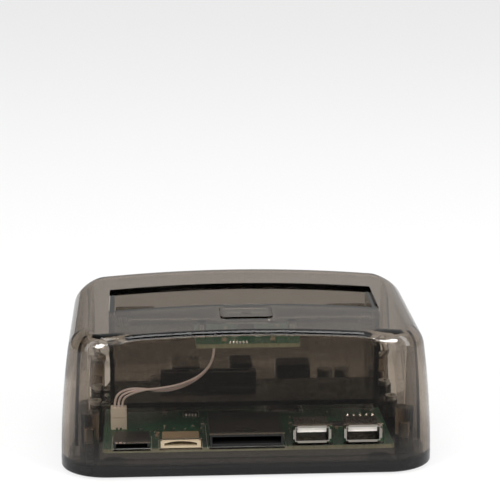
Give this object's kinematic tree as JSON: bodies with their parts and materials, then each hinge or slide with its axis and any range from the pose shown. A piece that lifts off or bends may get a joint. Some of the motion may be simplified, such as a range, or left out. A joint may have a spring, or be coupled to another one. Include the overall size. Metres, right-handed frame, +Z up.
{
  "type": "hard drive docking station",
  "caption": "Desk dock of smoked clear plastic with a top slot for an upright disk, a spring flap, card sockets and USB ports.",
  "frame": {"origin": "centre of the footprint, on the surface that the feet stand on", "axes": "+Z up, -Y towards the front with the card sockets, +X to the right seen from the front"},
  "size_m": [0.144, 0.093, 0.0614],
  "materials": {
    "smoked_plastic": "clear smoked, polished",
    "black_plastic": "satin moulded",
    "black_rubber": "matt",
    "green_board": "solder mask",
    "bright_steel": "plated sheet",
    "zinc_steel": "zinc plated",
    "ivory_plastic": "moulded",
    "beige_plastic": "moulded",
    "dark_body": "moulded",
    "can_aluminium": "satin",
    "gold_contact": "gold plated",
    "solder": "tinned",
    "lamp_lens": "clear",
    "wire_jacket": "insulation"
  },
  "bodies": {
    "housing": {"top_shell": "smoked_plastic", "base_tray": "smoked_plastic", "rubber_feet": "black_rubber", "case_screws": "zinc_steel", "bay_frame": "smoked_plastic", "bay_screws": "zinc_steel", "flap_pin": "bright_steel", "tactile_switch": "dark_body", "button_board": "green_board", "button_board_screws": "zinc_steel", "indicator_lamps": "lamp_lens", "lead_wire_front": "wire_jacket", "lead_wire_middle": "wire_jacket", "lead_wire_back": "wire_jacket", "lead_plug": "ivory_plastic", "lead_header": "ivory_plastic", "main_board": "green_board", "board_screws": "zinc_steel", "sata_connector": "black_plastic", "sata_contacts": "gold_contact", "micro_card_socket": "bright_steel", "mini_card_socket": "beige_plastic", "sd_socket_body": "black_plastic", "sd_socket_cover": "bright_steel", "usb_shell_left": "bright_steel", "usb_shell_right": "bright_steel", "usb_tongue_left": "ivory_plastic", "usb_tongue_right": "ivory_plastic", "usb_contacts": "gold_contact", "usb_seats": "black_plastic", "usb_b_socket": "bright_steel", "usb_b_tongue": "ivory_plastic", "power_inlet": "black_plastic", "power_inlet_pin": "bright_steel", "switch_housing": "black_plastic", "bridge_chip": "dark_body", "card_reader_chip": "dark_body", "memory_chip": "dark_body", "crystals": "bright_steel", "power_coil": "dark_body", "can_capacitors": "can_aluminium", "ferrite_bead": "dark_body", "solder_joints": "solder"},
    "flap": {"slot_flap": "smoked_plastic", "flap_spring_left": "bright_steel", "flap_spring_right": "bright_steel"},
    "button": {"top_button": "smoked_plastic", "switch_plunger": "black_plastic"},
    "rocker": {"power_rocker": "black_plastic"}
  },
  "joints": [
    {"name": "button_press", "type": "slide", "parent": "housing", "child": "button", "axis": [0, 0, -1], "range_m": [0, 0.0008], "stiffness_N_per_m": 400, "springref_m": -0.0005},
    {"name": "flap_hinge", "type": "hinge", "parent": "housing", "child": "flap", "pos_m": [0, -0.0115, 0.05108], "axis": [-1, 0, 0], "range_deg": [0, 88], "stiffness_Nm_per_rad": 0.004, "springref_deg": -34.38},
    {"name": "rocker_tilt", "type": "hinge", "parent": "housing", "child": "rocker", "pos_m": [0.02335, 0.0427, 0.0164], "axis": [0, 0, 1], "range_deg": [0, 16]}
  ]
}
